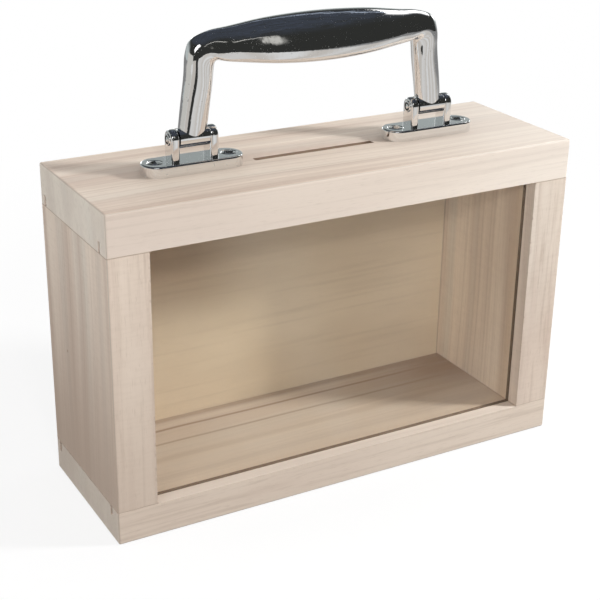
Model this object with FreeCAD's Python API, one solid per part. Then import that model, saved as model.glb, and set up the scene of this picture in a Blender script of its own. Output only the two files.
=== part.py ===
import FreeCAD, Part
import math
import os

from FreeCAD import Vector

# A wooden money box in the form of a carrying case, in millimetres.
# Origin: middle of the underside. +X runs along the width, -Y is the window side, +Z is up.

# Case
case_width = 200.0
case_depth = 66.0
case_height = 131.0
top_thickness = 16.0
bottom_thickness = 13.5
side_thickness = 16.0
arris_radius = 0.8
joint_easing = 0.25

# Window pane in its grooves
pane_thickness = 1.5
pane_setback = 5.7
pane_inset = 4.0
pane_play = 0.3

# Back panel that slides out to the right
panel_thickness = 2.0
panel_setback = 3.5
panel_inset = 4.0
panel_play = 0.15
thumb_recess_length = 24.0
thumb_recess_width = 9.0
thumb_recess_depth = 0.8
thumb_recess_margin = 8.0

# Coin slot
slot_length = 53.0
slot_width = 3.5

# Corner dowels
dowel_diameter = 6.0
dowel_spacing = 28.0
dowel_in_side = 10.0
dowel_in_board = 7.5
dowel_chamfer = 0.6
glue_gap = 0.05
dowel_end_gap = 0.4

# Hinge plates
hinge_spacing = 104.4
plate_length = 40.6
plate_width = 13.0
plate_thickness = 4.3
plate_edge_radius = 0.7
screw_spacing = 30.0
pivot_height = 12.3
lug_gap = 12.3
lug_thickness = 3.4
lug_width = 7.2
lug_root_radius = 0.5

# Pivot pins
pin_diameter = 3.0
pin_head_diameter = 4.6
pin_head_height = 0.6
pin_rivet_clearance = 0.02
pin_running_clearance = 0.05

# Screws
screw_diameter = 3.4
screw_head_diameter = 6.0
screw_length = 15.0
screw_point = 4.0
screw_clearance = 0.05
screw_sink = 0.15
recess_span = 3.6
recess_width = 0.8
recess_depth = 1.3

# Carry handle, heights above the pivot axis
barrel_diameter = 7.4
barrel_side_clearance = 0.2
lug_clearance = 0.4
leg_width = 11.4
leg_lean = 7.6
leg_foot_depth = 7.1
leg_top_depth = 9.4
grip_crest = 41.9
grip_belly = 23.9
grip_middle_depth = 19.8
grip_end_depth = 10.4
grip_top_slope = 10.5
grip_belly_slope = 10.3
grip_flatness = 0.48
corner_outer_radius = 6.5
corner_inner_radius = 1.2
ring_points = 12

# Where the bail's sections stand on its right half: stage (0 leg, 1 corner, 2 grip) and share of that stage
bail_stations = [(0, 0), (0, 0.4), (0, 0.8), (1, 0), (1, 0.33), (1, 0.67), (1, 1),
                 (2, 0.2), (2, 0.45), (2, 0.72), (2, 1)]

# Places that follow from the sizes above
half_width = case_width / 2
half_depth = case_depth / 2
full_width = (-half_width, half_width)
full_depth = (-half_depth, half_depth)
inner_half_width = half_width - side_thickness
inner_top = case_height - top_thickness
inner_bottom = bottom_thickness
inner_height = (inner_bottom, inner_top)
hinge_x = hinge_spacing / 2
pivot_z = case_height + pivot_height
plate_top = case_height + plate_thickness
pane_front = -half_depth + pane_setback
pane_groove_back = pane_front + pane_thickness + pane_play
panel_back = half_depth - panel_setback
panel_front = panel_back - panel_thickness
panel_groove_front = panel_front - panel_play
panel_groove_back = panel_back + panel_play


def block(x_range, y_range, z_range):
    """A box between the given limits."""
    low = Vector(x_range[0], y_range[0], z_range[0])
    size = Vector(x_range[1], y_range[1], z_range[1]) - low
    return Part.makeBox(size.x, size.y, size.z, low)


def rod(diameter, start, end):
    """A round bar between two points."""
    axis = end - start
    return Part.makeCylinder(diameter / 2, axis.Length, start, axis)


def stadium(length, width):
    """A flat face with round ends, centred at the origin in the XY plane, long along X."""
    r = width / 2
    reach = length / 2 - r
    right = Part.Arc(Vector(reach, -r, 0), Vector(reach + r, 0, 0), Vector(reach, r, 0))
    left = Part.Arc(Vector(-reach, r, 0), Vector(-reach - r, 0, 0), Vector(-reach, -r, 0))
    upper = Part.LineSegment(Vector(reach, r, 0), Vector(-reach, r, 0))
    lower = Part.LineSegment(Vector(-reach, -r, 0), Vector(reach, -r, 0))
    edges = [right.toShape(), upper.toShape(), left.toShape(), lower.toShape()]
    return Part.Face(Part.Wire(edges))


def turned(profile, position, axis):
    """A solid of revolution, from a closed list of (radius, height) points. axis is where height points."""
    points = [Vector(radius, 0, height) for radius, height in profile]
    outline = Part.makePolygon(points + points[:1])
    solid = Part.Face(outline).revolve(Vector(0, 0, 0), Vector(0, 0, 1), 360)
    turn = FreeCAD.Rotation(Vector(0, 0, 1), axis)
    solid.Placement = FreeCAD.Placement(position, turn)
    return solid


def on_case_faces(edge):
    """How many of the case's outer faces an edge lies in."""
    planes = (("x", -half_width), ("x", half_width), ("y", -half_depth), ("y", half_depth),
              ("z", 0.0), ("z", case_height))
    ends = [vertex.Point for vertex in edge.Vertexes]
    return sum(all(abs(getattr(p, axis) - at) < 1e-6 for p in ends) for axis, at in planes)


def eased(board):
    """The board with its outer arrises rounded."""
    arrises = [edge for edge in board.Edges if on_case_faces(edge) >= 2]
    return board.makeFillet(arris_radius, arrises)


def is_joint_edge(edge):
    """Whether an edge lies in the plane of a corner joint, at the outside of the case."""
    middle = edge.CenterOfMass
    in_joint = any(all(abs(v.Z - z) < 1e-6 for v in edge.Vertexes) for z in inner_height)
    inset = min(half_width - abs(middle.x), half_depth - abs(middle.y))
    return in_joint and inset < arris_radius


def side_block(x_range, y_range):
    """A side board before its grooves, with rounded arrises and eased ends that draw the joint lines."""
    board = eased(block(x_range, y_range, inner_height))
    return board.makeChamfer(joint_easing, [edge for edge in board.Edges if is_joint_edge(edge)])


def dowel_places():
    """(x, y, joint height, direction into the side board) of each corner dowel."""
    x_dowel = half_width - side_thickness / 2
    for joint_z, into_side in ((inner_bottom, 1), (inner_top, -1)):
        for x in (-x_dowel, x_dowel):
            for y in (-dowel_spacing / 2, dowel_spacing / 2):
                yield x, y, joint_z, into_side


def dowel_holes():
    """What the corner dowels take out of the boards."""
    holes = []
    for x, y, joint_z, into_side in dowel_places():
        start = Vector(x, y, joint_z - into_side * (dowel_in_board + dowel_end_gap))
        end = Vector(x, y, joint_z + into_side * (dowel_in_side + dowel_end_gap))
        holes.append(rod(dowel_diameter + 2 * glue_gap, start, end))
    return Part.makeCompound(holes)


def screw_places():
    """The middle of each screw head, on top of its plate."""
    for x_hinge in (-hinge_x, hinge_x):
        for offset in (-screw_spacing / 2, screw_spacing / 2):
            yield Vector(x_hinge + offset, 0, plate_top)


def pane_groove(x_range, z_range):
    """The groove that holds the window pane, over the given stretch."""
    return block(x_range, (pane_front, pane_groove_back), z_range)


def panel_groove(x_range, z_range):
    """The groove that the back panel slides in, over the given stretch."""
    return block(x_range, (panel_groove_front, panel_groove_back), z_range)


def top_board():
    """Full-width board with through grooves, coin slot, dowel holes and pilot holes."""
    board = eased(block(full_width, full_depth, (inner_top, case_height)))
    board = board.cut(pane_groove(full_width, (inner_top, inner_top + pane_inset + pane_play)))
    board = board.cut(panel_groove(full_width, (inner_top, inner_top + panel_inset + panel_play)))
    slot_x = (-slot_length / 2, slot_length / 2)
    slot_y = (-slot_width / 2, slot_width / 2)
    board = board.cut(block(slot_x, slot_y, (inner_top, case_height)))
    board = board.cut(dowel_holes())
    for head in screw_places():
        tip = head - Vector(0, 0, screw_sink + screw_length + screw_clearance)
        board = board.cut(rod(screw_diameter + 2 * screw_clearance, tip, head))
    return board


def bottom_board():
    """Full-width board with through grooves and dowel holes."""
    board = eased(block(full_width, full_depth, (0, inner_bottom)))
    board = board.cut(pane_groove(full_width, (inner_bottom - pane_inset, inner_bottom)))
    board = board.cut(panel_groove(full_width, (inner_bottom - panel_inset - panel_play, inner_bottom)))
    return board.cut(dowel_holes())


def left_side_board():
    """Side board whose grooves hold the pane and stop the back panel."""
    x_range = (-half_width, -inner_half_width)
    board = side_block(x_range, full_depth)
    pane_floor = -inner_half_width - pane_inset - pane_play
    board = board.cut(pane_groove((pane_floor, -inner_half_width), inner_height))
    panel_floor = -inner_half_width - panel_inset - panel_play
    board = board.cut(panel_groove((panel_floor, -inner_half_width), inner_height))
    return board.cut(dowel_holes())


def right_side_board():
    """Side board that ends in front of the back panel, so the panel slides out behind it."""
    x_range = (inner_half_width, half_width)
    board = side_block(x_range, (-half_depth, panel_groove_front))
    pane_floor = inner_half_width + pane_inset + pane_play
    board = board.cut(pane_groove((inner_half_width, pane_floor), inner_height))
    return board.cut(dowel_holes())


def window_pane():
    """Clear sheet that stands on the floor of the lower groove."""
    reach = inner_half_width + pane_inset
    z_range = (inner_bottom - pane_inset, inner_top + pane_inset)
    return block((-reach, reach), (pane_front, pane_front + pane_thickness), z_range)


def back_panel():
    """Plywood sheet, flush with the right side, with a thumb recess near that end."""
    left_end = -inner_half_width - panel_inset
    z_range = (inner_bottom - panel_inset, inner_top + panel_inset)
    panel = block((left_end, half_width), (panel_front, panel_back), z_range)
    recess = stadium(thumb_recess_length, thumb_recess_width).extrude(Vector(0, 0, thumb_recess_depth))
    upright = FreeCAD.Rotation(Vector(0, 0, 1), Vector(1, 0, 0), Vector(0, 1, 0))
    recess_x = half_width - thumb_recess_margin - thumb_recess_width / 2
    recess_at = Vector(recess_x, panel_back - thumb_recess_depth, (z_range[0] + z_range[1]) / 2)
    recess.Placement = FreeCAD.Placement(recess_at, upright)
    return panel.cut(recess)


def corner_dowel(x, y, joint_z, into_side):
    """Round dowel with chamfered ends."""
    length = dowel_in_board + dowel_in_side
    r = dowel_diameter / 2
    neck = r - dowel_chamfer
    profile = [(0, 0), (neck, 0), (r, dowel_chamfer),
               (r, length - dowel_chamfer), (neck, length), (0, length)]
    return turned(profile, Vector(x, y, joint_z - into_side * dowel_in_board), Vector(0, 0, into_side))


def lug(x_start):
    """Upright ear with a round top, from inside the plate to above the pivot."""
    r = lug_width / 2
    left_foot = Vector(x_start, -r, case_height + plate_thickness / 2)
    right_foot = Vector(x_start, r, case_height + plate_thickness / 2)
    left_top = Vector(x_start, -r, pivot_z)
    right_top = Vector(x_start, r, pivot_z)
    crown = Part.Arc(right_top, Vector(x_start, 0, pivot_z + r), left_top)
    outline = [Part.LineSegment(left_foot, right_foot), Part.LineSegment(right_foot, right_top),
               crown, Part.LineSegment(left_top, left_foot)]
    wire = Part.Wire([line.toShape() for line in outline])
    return Part.Face(wire).extrude(Vector(lug_thickness, 0, 0))


def hinge_base(x_hinge):
    """Round-ended plate with two lugs, a pin bore and two countersunk holes."""
    plate = stadium(plate_length, plate_width).extrude(Vector(0, 0, plate_thickness))
    plate.translate(Vector(x_hinge, 0, case_height))
    rim = [edge for edge in plate.Edges if all(abs(v.Z - plate_top) < 1e-6 for v in edge.Vertexes)]
    base = plate.makeFillet(plate_edge_radius, rim)
    for side in (x_hinge - lug_gap / 2 - lug_thickness, x_hinge + lug_gap / 2):
        base = base.fuse(lug(side))
    base = base.removeSplitter()
    roots = [edge for edge in base.Edges if is_lug_root(edge, x_hinge)]
    base = base.makeFillet(lug_root_radius, roots)
    reach = lug_gap / 2 + lug_thickness
    bore_start = Vector(x_hinge - reach, 0, pivot_z)
    bore_end = Vector(x_hinge + reach, 0, pivot_z)
    base = base.cut(rod(pin_diameter + 2 * pin_rivet_clearance, bore_start, bore_end))
    head_r = screw_head_diameter / 2 + screw_clearance + screw_sink
    shank_r = screw_diameter / 2 + screw_clearance
    for head in screw_places():
        sink = turned([(0, 0), (head_r, 0), (shank_r, head_r - shank_r), (shank_r, plate_thickness),
                       (0, plate_thickness)], head, Vector(0, 0, -1))
        base = base.cut(sink)
    return base


def is_lug_root(edge, x_hinge):
    """Whether an edge is where a lug stands on its plate."""
    lug_reach = lug_gap / 2 + lug_thickness
    return all(abs(v.Z - plate_top) < 1e-6 and abs(v.X - x_hinge) < lug_reach + 1e-6
               and abs(v.Y) < lug_width / 2 + 1e-6 for v in edge.Vertexes)


def pivot_pin(x_hinge):
    """Pin with a low riveted head at each end."""
    half = lug_gap / 2 + lug_thickness
    end = half + pin_head_height
    r = pin_diameter / 2
    head = pin_head_diameter / 2
    shoulder = half + pin_head_height / 2
    profile = [(0, -end), (r, -end), (head, -shoulder), (head, -half), (r, -half),
               (r, half), (head, half), (head, shoulder), (r, end), (0, end)]
    return turned(profile, Vector(x_hinge, 0, pivot_z), Vector(1, 0, 0))


def base_screw(head):
    """Countersunk screw with a crossed recess and a point."""
    head_r = screw_head_diameter / 2
    shank_r = screw_diameter / 2
    neck = head_r - shank_r
    top = head - Vector(0, 0, screw_sink)
    profile = [(0, 0), (head_r, 0), (shank_r, neck),
               (shank_r, screw_length - screw_point), (0, screw_length)]
    screw = turned(profile, top, Vector(0, 0, -1))
    for length, width in ((recess_span, recess_width), (recess_width, recess_span)):
        bar = Part.makeBox(length, width, recess_depth)
        bar.translate(top - Vector(length / 2, width / 2, recess_depth))
        screw = screw.cut(bar)
    return screw


def arc_point(centre, radius, angle):
    """A point of an arc in the XZ plane, with the angle in degrees from +X towards +Z."""
    turn = math.radians(angle)
    return centre + Vector(radius * math.cos(turn), 0, radius * math.sin(turn))


def bail_outline(leg_offset, radius, slope, middle):
    """One edge of the right half of the bail, seen from the front, as a function of stage and share.

    The edge runs up the leg (stage 0), round the corner (stage 1) and along to mid-grip (stage 2).
    slope is how steeply the grip's edge leaves the corner, positive where the grip's middle is higher.
    """
    lean = math.radians(leg_lean)
    rise = math.tan(math.radians(slope))
    end_normal = 90 - slope
    foot = Vector(hinge_x + leg_offset, 0, 0)
    leg_way = Vector(-math.tan(lean), 0, 1)
    arc_span = arc_point(Vector(), radius, end_normal) - arc_point(Vector(), radius, leg_lean)
    unit_gain = leg_way.z + leg_way.x * rise / 2
    corner_start = (middle - arc_span.z - (foot.x + arc_span.x) * rise / 2) / unit_gain
    leg_end = foot + leg_way * corner_start
    centre = leg_end - arc_point(Vector(), radius, leg_lean)
    grip_end = arc_point(centre, radius, end_normal)

    def point(stage, share):
        if stage == 0:
            return foot + leg_way * (corner_start * share)
        if stage == 1:
            return arc_point(centre, radius, leg_lean + (end_normal - leg_lean) * share)
        x = grip_end.x * (1 - share)
        return Vector(x, 0, grip_end.z + (grip_end.x ** 2 - x ** 2) * rise / (2 * grip_end.x))

    return point


def bail_depth(stage, share):
    """Front-to-back size of the bail along its length."""
    if stage == 0:
        return leg_foot_depth + (leg_top_depth - leg_foot_depth) * share
    if stage == 1:
        return leg_top_depth + (grip_end_depth - leg_top_depth) * share
    return grip_middle_depth - (grip_middle_depth - grip_end_depth) * (1 - share) ** 2


def bail_flatness(stage, share):
    """How far the widest line of a section lies towards its inner edge, as a share of half its height."""
    return grip_flatness * (0, share, 1)[stage]


def bail_ring(outer, inner, depth, flatness):
    """Control points of a closed oval through an outer and an inner edge point, depth deep along Y.

    The oval is flatter towards its inner edge, by flatness from 0 to 0.5.
    """
    turns = [2 * math.pi * i / ring_points for i in range(ring_points)]
    swell, double_swell = [3 / (2 + math.cos(turns[i])) for i in (1, 2)]
    centre = (outer + inner) * 0.5
    reach = outer - centre
    side = Vector(0, depth / 2 * swell, 0)
    ring = []
    for turn in turns:
        drop = flatness * (1 - double_swell * math.cos(2 * turn)) / 2
        ring.append(centre + reach * (swell * math.cos(turn) - drop) + side * math.sin(turn))
    return ring


def bail_solid():
    """The bail without its barrels: one smooth skin through oval sections, closed flat at each foot."""
    outer = bail_outline(leg_width / 2, corner_outer_radius, grip_top_slope, grip_crest)
    inner = bail_outline(-leg_width / 2, corner_inner_radius, -grip_belly_slope, grip_belly)
    right_half = [(outer(*at), inner(*at), bail_depth(*at), bail_flatness(*at)) for at in bail_stations]
    left_half = [(Vector(-o.x, 0, o.z), Vector(-i.x, 0, i.z), *rest) for o, i, *rest in right_half[:-1]]
    sections = right_half + left_half[::-1]
    travel = [0.0]
    for (o1, i1, *_), (o2, i2, *_) in zip(sections, sections[1:]):
        travel.append(travel[-1] + (o2 + i2 - o1 - i1).Length / 2)
    lines = []
    for strand in zip(*[bail_ring(*section) for section in sections]):
        line = Part.BSplineCurve()
        line.interpolate(Points=list(strand), Parameters=travel)
        lines.append(line)
    grid = [list(row) for row in zip(*[line.getPoles() for line in lines])]
    around = list(range(ring_points + 1))
    skin = Part.BSplineSurface()
    skin.buildFromPolesMultsKnots(grid, lines[0].getMultiplicities(), [1] * len(around),
                                  lines[0].getKnots(), around, False, True, lines[0].Degree, 3)
    skin_face = skin.toShape()
    ends = [Part.Face(Part.Wire([edge])) for edge in skin_face.Edges if edge.isClosed()]
    shell = Part.makeShell([skin_face] + ends)
    shell.sewShape()
    return Part.Solid(Part.Shell(shell.Faces))


def carry_handle():
    """One casting: swelling grip, square-set corners, leaning oval legs, a bored barrel at each foot."""
    bail = bail_solid()
    bail.translate(Vector(0, 0, pivot_z))
    barrel_half = lug_gap / 2 - barrel_side_clearance
    for x_hinge in (-hinge_x, hinge_x):
        ends = [Vector(x_hinge + side * barrel_half, 0, pivot_z) for side in (-1, 1)]
        bail = bail.fuse(rod(barrel_diameter, ends[0], ends[1]))
        for end, outward in zip(ends, (-1, 1)):
            past_lug = end + Vector(outward * (lug_thickness + barrel_side_clearance), 0, 0)
            bail = bail.cut(rod(lug_width + 2 * lug_clearance, end, past_lug))
        bail = bail.cut(rod(pin_diameter + 2 * pin_running_clearance, ends[0], ends[1]))
    return bail


def all_pieces():
    """Every node of the box with its shape."""
    pieces = {
        "top_board": top_board(),
        "bottom_board": bottom_board(),
        "left_side_board": left_side_board(),
        "right_side_board": right_side_board(),
        "window_pane": window_pane(),
        "back_panel": back_panel(),
        "carry_handle": carry_handle(),
    }
    for side, x_hinge in (("left", -hinge_x), ("right", hinge_x)):
        pieces["hinge_base_" + side] = hinge_base(x_hinge)
        pieces["pivot_pin_" + side] = pivot_pin(x_hinge)
    for number, head in enumerate(screw_places(), 1):
        pieces["base_screw_%d" % number] = base_screw(head)
    for number, place in enumerate(dowel_places(), 1):
        pieces["corner_dowel_%d" % number] = corner_dowel(*place)
    return pieces


os.makedirs("parts", exist_ok=True)
for node, shape in all_pieces().items():
    shape.exportStep("parts/%s.step" % node)
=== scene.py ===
import math

import bmesh
import bpy
from mathutils import Matrix, Vector


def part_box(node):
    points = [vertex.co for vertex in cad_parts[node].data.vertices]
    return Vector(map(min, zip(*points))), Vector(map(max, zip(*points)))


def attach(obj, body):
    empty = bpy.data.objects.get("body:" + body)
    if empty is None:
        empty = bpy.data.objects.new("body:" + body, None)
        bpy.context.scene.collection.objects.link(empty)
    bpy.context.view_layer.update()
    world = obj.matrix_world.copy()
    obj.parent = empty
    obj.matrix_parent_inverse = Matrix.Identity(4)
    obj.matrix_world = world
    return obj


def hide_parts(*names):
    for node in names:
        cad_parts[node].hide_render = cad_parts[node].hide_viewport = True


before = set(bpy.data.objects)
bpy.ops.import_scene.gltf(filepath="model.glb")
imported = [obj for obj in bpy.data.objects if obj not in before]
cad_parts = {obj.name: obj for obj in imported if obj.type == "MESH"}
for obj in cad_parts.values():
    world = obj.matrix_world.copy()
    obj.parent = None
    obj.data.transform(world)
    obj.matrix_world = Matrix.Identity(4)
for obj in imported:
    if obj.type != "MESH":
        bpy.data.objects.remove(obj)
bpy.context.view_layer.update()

bl_info = {
    "name": "Donation Box",
    "version": (1, 0, 0),
    "blender": (4, 5, 0),
    "location": "3D View > Sidebar > Donation Box",
    "description": "Finishes a wooden money box with a window and a chrome carry handle",
    "category": "Object",
}


# Shader maths

class Wire:
    """One output socket of a shader tree. Sums on wires add Math nodes."""

    def __init__(self, socket):
        self.socket = socket

    def node(self, kind, settings=None, sockets=None, output=None):
        """Adds a node to the same tree, with its settings first and then values or wires on its inputs."""
        tree = self.socket.id_data
        made = tree.nodes.new(kind)
        for name, value in (settings or {}).items():
            setattr(made, name, value)
        for name, value in (sockets or {}).items():
            wanted = made.inputs[name] if isinstance(name, int) else live_socket(made.inputs, name)
            if isinstance(value, Wire):
                tree.links.new(value.socket, wanted)
            else:
                wanted.default_value = value
        return Wire(live_socket(made.outputs, output))

    def output(self, name):
        """Another output of the same node."""
        return Wire(live_socket(self.socket.node.outputs, name))

    def maths(self, operation, *values):
        """A Math node on these values."""
        return self.node("ShaderNodeMath", {"operation": operation}, dict(enumerate(values)))

    def vectors(self, operation, *values):
        """A Vector Math node on these values."""
        return self.node("ShaderNodeVectorMath", {"operation": operation}, dict(enumerate(values)))

    def __add__(self, other):
        return self.maths("ADD", self, other)

    def __sub__(self, other):
        return self.maths("SUBTRACT", self, other)

    def __rsub__(self, other):
        return self.maths("SUBTRACT", other, self)

    def __mul__(self, other):
        return self.maths("MULTIPLY", self, other)

    def __pow__(self, other):
        return self.maths("POWER", self, other)

    def __abs__(self):
        return self.maths("ABSOLUTE", self)

    __radd__ = __add__
    __rmul__ = __mul__

    def between(self, low, high):
        """0 at low, 1 at high, smooth between them and level outside."""
        return self.node("ShaderNodeMapRange", {"interpolation_type": "SMOOTHSTEP"},
                         {"Value": self, "From Min": low, "From Max": high})

    def mix(self, start, end):
        """The colour start where this wire is 0 and end where it is 1."""
        return self.node("ShaderNodeMix", {"data_type": "RGBA"}, {"Factor": self, "A": start, "B": end})

    def blend(self, start, end):
        """The surface start where this wire is 0 and end where it is 1."""
        return self.node("ShaderNodeMixShader", None, {"Fac": self, 1: start, 2: end})

    def paint(self, ground, colour):
        """A ground colour, with a colour property laid over it where this wire is 1."""
        return self.mix(ground, opaque(colour))

    def parts(self):
        """The X, Y and Z of a vector."""
        split = self.node("ShaderNodeSeparateXYZ", None, {"Vector": self})
        return split, split.output("Y"), split.output("Z")


def live_socket(sockets, name):
    """The first socket in use, or the one in use with this name."""
    return next(s for s in sockets if s.enabled and name in (None, s.name))


def new_finish(name):
    """A material with an empty tree, and its Object coordinates to start from."""
    material = bpy.data.materials.new(name)
    material.use_nodes = True
    tree = material.node_tree
    tree.nodes.clear()
    place = tree.nodes.new("ShaderNodeTexCoord")
    return material, Wire(place.outputs["Object"])


def close_finish(material, surface):
    """Joins the finished surface to the material's output."""
    tree = material.node_tree
    end = tree.nodes.new("ShaderNodeOutputMaterial")
    tree.links.new(surface.socket, end.inputs["Surface"])
    return material


def opaque(colour):
    """A colour property with full alpha."""
    return (*colour, 1.0)


def grey(level):
    """A grey colour."""
    return (level, level, level, 1.0)


def stretched(point, scales, seed, detail, roughness=0.5):
    """Noise from 0 to 1 whose grain is stretched by its scale along each axis, in repeats per metre."""
    scaled = point.vectors("MULTIPLY", point, scales)
    return point.node("ShaderNodeTexNoise", {"noise_dimensions": "4D"},
                      {"Vector": scaled, "W": seed, "Scale": 1.0, "Detail": detail, "Roughness": roughness})


def figure(point, scales, seed, detail, start, full):
    """Stretched noise as a mask: 0 up to the level start and 1 from the level full."""
    return stretched(point, scales, seed, detail).between(start, full)


AXES = "XYZ"

# How squarely a surface points along an axis where it begins to face that way, and where it does so fully
SLANTED, SQUARE = 0.7, 0.95


def facing(point, axis, side=1):
    """1 where a surface faces along an axis, to the side of this sign, else 0."""
    return point.output("Normal").parts()[AXES.index(axis)].between(SLANTED * side, SQUARE * side)


def mark(distance, reach):
    """1 close to a line or a spot, from the distance to it, and 0 beyond its reach."""
    return distance.between(reach, reach / 3)


# Finishes

GRAIN_ALONG_X = "X"
GRAIN_ALONG_Z = "Z"

# Middle of the noise, whose levels run from 0 to 1
MIDDLE_LEVEL = 0.5

# Layers of a board's figure: scales along the grain, across the rings and the third way, the layer's own seed,
# its detail, and the levels where it starts and is full. The first table's layers wander with the grain.
WANDERING_LAYERS = {
    "band": ((2.5, 105.0, 16.0), 1.0, 2.0, 0.40, 0.66),
    "cool": ((2.0, 70.0, 12.0), 2.0, 1.0, 0.50, 0.68),
    "streak": ((4.0, 330.0, 120.0), 6.0, 3.0, 0.47, 0.72),
    "line": ((7.0, 950.0, 620.0), 3.0, 2.0, 0.46, 0.74),
    "pore": ((190.0, 3400.0, 2900.0), 4.0, 1.0, 0.58, 0.74),
}
STEADY_LAYERS = {
    "ripple": ((900.0, 160.0, 160.0), 7.0, 1.0, 0.40, 0.70),
    "blush": ((16.0, 24.0, 24.0), 5.0, 2.0, 0.35, 0.70),
}
WAVER_SCALES = (7.0, 20.0, 20.0)

# How square a surface still is where the painted shade on a rounded edge begins, and where it is full
ARRIS_SHADE = (0.97, 0.80)

# How open a grain line is beside a pore, and the roughness of sanded wood and of its open grain
LINE_OPENNESS = 0.4
SANDED_ROUGHNESS, OPEN_ROUGHNESS = 0.62, 0.15


def by_grain(grain, along, across, through):
    """Scales in the frame's axes from those along the grain, across the rings and the third way."""
    return (along, across, through) if grain == GRAIN_ALONG_X else (through, across, along)


def board_layers(point, grain, seed, layers):
    """The mask of each layer in a table."""
    return {name: figure(point, by_grain(grain, *scales), seed + own_seed, detail, start, full)
            for name, (scales, own_seed, detail, start, full) in layers.items()}


def wood_colour(point, grain, seed, wood, ripple_strength):
    """Colour of a sanded board whose year rings stand square to the Y axis, and how open its grain is."""
    waver = stretched(point, by_grain(grain, *WAVER_SCALES), seed, 1.0) - MIDDLE_LEVEL
    aside = point.node("ShaderNodeCombineXYZ", None, {"Y": waver * wood.waver})
    shifted = point.vectors("ADD", point, aside)
    layer = board_layers(shifted, grain, seed, WANDERING_LAYERS)
    layer.update(board_layers(point, grain, seed, STEADY_LAYERS))
    lines = layer["line"] * wood.line_strength + layer["ripple"] * ripple_strength
    colour = (layer["band"] * wood.band_strength).paint(opaque(wood.pale), wood.rosy)
    colour = (layer["cool"] * wood.cool_strength).paint(colour, wood.cool)
    colour = (layer["blush"] * wood.blush_strength).paint(colour, wood.rosy)
    colour = (layer["streak"] * wood.streak_strength).paint(colour, wood.rosy)
    colour = lines.paint(colour, wood.dark)
    colour = (layer["pore"] * wood.pore_strength).paint(colour, wood.dark)
    squareness = [abs(part) for part in point.output("Normal").parts()]
    end = squareness[AXES.index(grain)].between(SLANTED, SQUARE)
    colour = (end * wood.end_strength).paint(colour, wood.end_grain)
    # Painted shade: rounded edges turn darker, to hold down the light that they catch
    squarest = point.maths("MAXIMUM", point.maths("MAXIMUM", *squareness[:2]), squareness[2])
    colour = (squarest.between(*ARRIS_SHADE) * wood.arris_shade_strength).paint(colour, wood.arris_shade)
    return colour, layer["line"] * LINE_OPENNESS + layer["pore"]


def wood_surface(point, colour, openness):
    """Sanded bare wood of a colour."""
    bump = point.node("ShaderNodeBump", None, {
        "Strength": 0.25, "Distance": 0.00012, "Height": 1.0 - openness})
    return point.node("ShaderNodeBsdfPrincipled", None, {
        "Base Color": colour, "Roughness": SANDED_ROUGHNESS + openness * OPEN_ROUGHNESS, "Normal": bump,
        "Specular IOR Level": 0.28})


def slot_board_finish(seed, wood, slot):
    """Top board, paler to the right by painted light, bleached on the front's left, and darkened by painted
    shade down inside its coin slot.
    """
    material, point = new_finish("slotted_board")
    colour, openness = wood_colour(point, GRAIN_ALONG_X, seed, wood, 0.0)
    x, y, z = point.parts()
    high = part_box("top_board")[1]
    # Painted light: the top face turns paler towards the right end, where the light falls stronger
    lit_right_end = x.between(0.0, high.x) * (1.0 - facing(point, "X"))
    colour = (lit_right_end * wood.right_light_strength).paint(colour, wood.bleached)
    front = facing(point, "Y", -1) * x.between(high.x, 0.0)
    colour = (front * wood.front_strength).paint(colour, wood.bleached)
    # Painted shade: the slot's walls turn darker with depth below the top face
    in_length = (abs(x) - slot.length / 2).between(slot.edge, 0.0)
    in_width = (abs(y) - slot.width / 2).between(slot.edge, 0.0)
    depth = z.between(high.z - slot.edge / 4, high.z - slot.shade_depth)
    colour = (in_length * in_width * depth).paint(colour, slot.colour)
    return close_finish(material, wood_surface(point, colour, openness))


def from_walls(x):
    """Distance from the planes of the side boards' inner faces."""
    return abs(abs(x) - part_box("right_side_board")[0].x)


# Strong grain lines on the bottom board's upper face: Y, half width, strength
FLOOR_LINES = ((0.0262, 0.0036, 0.65), (0.0182, 0.0012, 0.90), (0.0076, 0.0011, 0.60),
               (-0.004, 0.0030, 0.25))
FLOOR_WAVER_SCALES = (14.0, 14.0, 14.0)

# Share of a strong line's half width over which it is full
LINE_CORE = 0.2


def bottom_board_finish(seed, wood):
    """Bottom board, darkened to the left by painted shade, with an upper face that is bleached and lined and
    has a painted shadow at the back right.
    """
    material, point = new_finish("bottom_board_wood")
    colour, openness = wood_colour(point, GRAIN_ALONG_X, seed, wood, 0.0)
    low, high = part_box("bottom_board")
    x, y, _ = point.parts()
    # Painted shade: the whole board darkens towards its left end
    colour = (x.between(2 * high.x, low.x) * wood.left_shade_strength).paint(colour, wood.foot)
    upper = facing(point, "Z")
    colour = (upper * wood.floor_bleach).paint(colour, wood.bleached)
    # Painted shadow: the upper face browns towards the back right, where the right board shades it
    rear = y.between(low.y, high.y / 2) * x.between(0.0, high.x)
    colour = (upper * rear * wood.floor_shade_strength).paint(colour, wood.floor_shade_colour)
    waver = stretched(point, FLOOR_WAVER_SCALES, seed + 8.0, 2.0) - MIDDLE_LEVEL
    wavy = y + waver * wood.floor_waver
    for place, half_width, strength in FLOOR_LINES:
        line = abs(wavy - place).between(half_width, half_width * LINE_CORE)
        colour = (upper * line * strength).paint(colour, wood.dark)
    # Dark line where the floor meets the side boards: partly a real joint, partly painted shade in the corner
    joint = upper * mark(from_walls(x), wood.joint_width)
    colour = (joint * wood.joint_strength).paint(colour, wood.dark)
    return close_finish(material, wood_surface(point, colour, openness))


# A tiny knot on the left board's outer face
PIN_KNOT = (-0.1, 0.013, 0.061)

# On a side board's front the painted shade grows less towards the foot, and some of it reaches the top
STILE_EVENNESS, STILE_SHADE = 0.5, 0.15


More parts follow.
